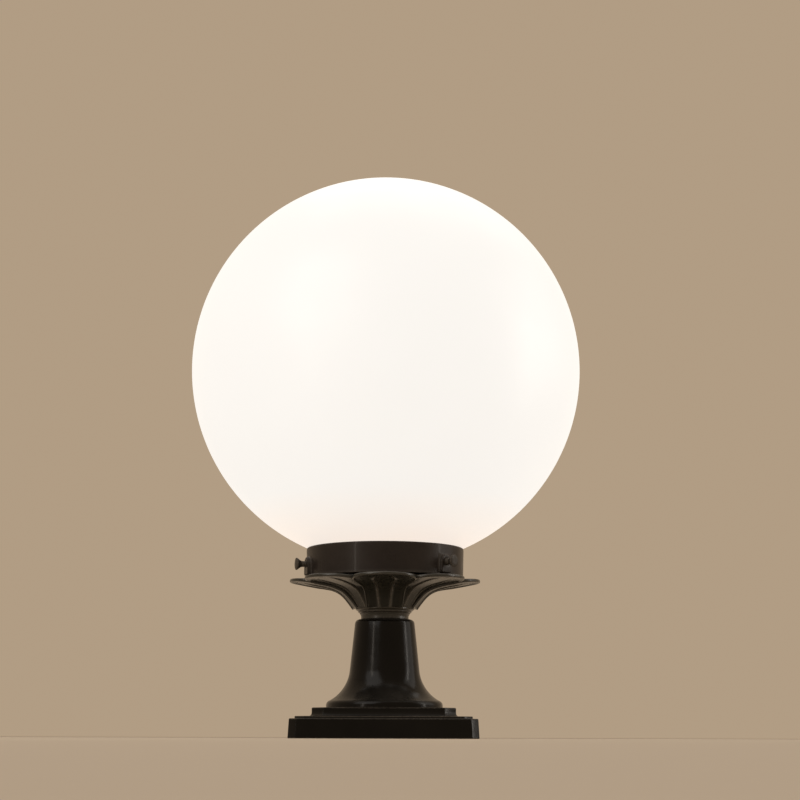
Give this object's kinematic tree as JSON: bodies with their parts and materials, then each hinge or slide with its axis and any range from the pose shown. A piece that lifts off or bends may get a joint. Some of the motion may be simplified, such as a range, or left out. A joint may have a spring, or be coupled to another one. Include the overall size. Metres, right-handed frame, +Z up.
{
  "type": "garden globe light",
  "caption": "Outdoor globe light: an opal globe in a screw-held gallery ring on a petal collar, a flared column and a stepped square base.",
  "frame": {"origin": "centre of the underside of the square base", "axes": "+Z up the column to the globe, -Y towards the front"},
  "size_m": [0.2999, 0.3, 0.4307],
  "materials": {
    "opal": "blown opal acrylic, glossy, lit from inside",
    "enamel": "semi-gloss black enamel",
    "enamel_ring": "semi-gloss dark brown-black enamel",
    "screw_steel": "blackened steel",
    "nylon": "natural nylon",
    "rubber": "matt black rubber",
    "galvanised": "zinc plated",
    "ceramic": "white glaze",
    "brass": "plain brass",
    "cap_metal": "bright rolled aluminium",
    "lamp_plastic": "white polycarbonate",
    "lamp_diffuser": "frosted, lit",
    "insulator": "black vitrite",
    "block": "nylon terminal strip",
    "wire_brown": "brown insulation",
    "wire_blue": "blue insulation",
    "wire_green": "green and yellow insulation"
  },
  "bodies": {
    "stand": {"seat_gasket": "rubber", "gallery_ring": "enamel_ring", "petal_collar": "enamel_ring", "column": "enamel", "base_casting": "enamel", "base_gasket": "rubber", "mounting_plate": "galvanised", "base_set_screws": "screw_steel", "cable_grommet": "rubber", "threaded_rod": "galvanised", "lower_washer": "galvanised", "lower_nut": "galvanised", "upper_washer": "galvanised", "upper_nut": "galvanised", "holder_bracket": "galvanised", "holder_screws": "galvanised", "lampholder_body": "ceramic", "lampholder_shell": "brass", "lampholder_contact": "brass", "terminal_block": "block", "terminal_screws": "brass", "live_wire": "wire_brown", "neutral_wire": "wire_blue", "earth_wire": "wire_green", "earth_tag": "brass", "earth_screw": "brass"},
    "globe": {"globe": "opal"},
    "lamp_rise": {"lamp_contact": "brass"},
    "lamp": {"lamp_insulator": "insulator", "lamp_cap": "cap_metal", "lamp_housing": "lamp_plastic", "lamp_diffuser": "lamp_diffuser"},
    "pad_1": {"screw_pad_1": "nylon"},
    "thumbscrew_1": {"thumbscrew_1": "screw_steel"},
    "pad_2": {"screw_pad_2": "nylon"},
    "thumbscrew_2": {"thumbscrew_2": "screw_steel"},
    "pad_3": {"screw_pad_3": "nylon"},
    "thumbscrew_3": {"thumbscrew_3": "screw_steel"}
  },
  "joints": [
    {"name": "globe_lift", "type": "slide", "parent": "stand", "child": "globe", "axis": [0, 0, 1], "range_m": [0, 0.16]},
    {"name": "lamp_rise", "type": "slide", "parent": "stand", "child": "lamp_rise", "axis": [0, 0, 1], "range_m": [0, 0.02177]},
    {"name": "lamp_turn", "type": "hinge", "parent": "lamp_rise", "child": "lamp", "pos_m": [0, 0, 0.16], "axis": [0, 0, 1], "range_deg": [0, 2160]},
    {"name": "pad_1_slide", "type": "slide", "parent": "stand", "child": "pad_1", "axis": [-0.9537, -0.3007, 0], "range_m": [-0.00024, 0.0056]},
    {"name": "thumbscrew_1_turn", "type": "hinge", "parent": "pad_1", "child": "thumbscrew_1", "pos_m": [-0.05722, -0.01804, 0.1288], "axis": [-0.9537, -0.3007, 0], "range_deg": [-108.5, 2520.5]},
    {"name": "pad_2_slide", "type": "slide", "parent": "stand", "child": "pad_2", "axis": [0.7373, -0.6756, 0], "range_m": [-0.00024, 0.0056]},
    {"name": "thumbscrew_2_turn", "type": "hinge", "parent": "pad_2", "child": "thumbscrew_2", "pos_m": [0.04424, -0.04054, 0.1288], "axis": [0.7373, -0.6756, 0], "range_deg": [-108.5, 2520.5]},
    {"name": "pad_3_slide", "type": "slide", "parent": "stand", "child": "pad_3", "axis": [0.2164, 0.9763, 0], "range_m": [-0.00024, 0.0056]},
    {"name": "thumbscrew_3_turn", "type": "hinge", "parent": "pad_3", "child": "thumbscrew_3", "pos_m": [0.01299, 0.05858, 0.1288], "axis": [0.2164, 0.9763, 0], "range_deg": [-108.5, 2520.5]}
  ],
  "couplings": [
    {"joint": "lamp_rise", "follows": "lamp_turn", "m_per_rad": 0.00057757},
    {"joint": "thumbscrew_1_turn", "follows": "pad_1_slide", "rad_per_m": 7854},
    {"joint": "thumbscrew_2_turn", "follows": "pad_2_slide", "rad_per_m": 7854},
    {"joint": "thumbscrew_3_turn", "follows": "pad_3_slide", "rad_per_m": 7854}
  ]
}
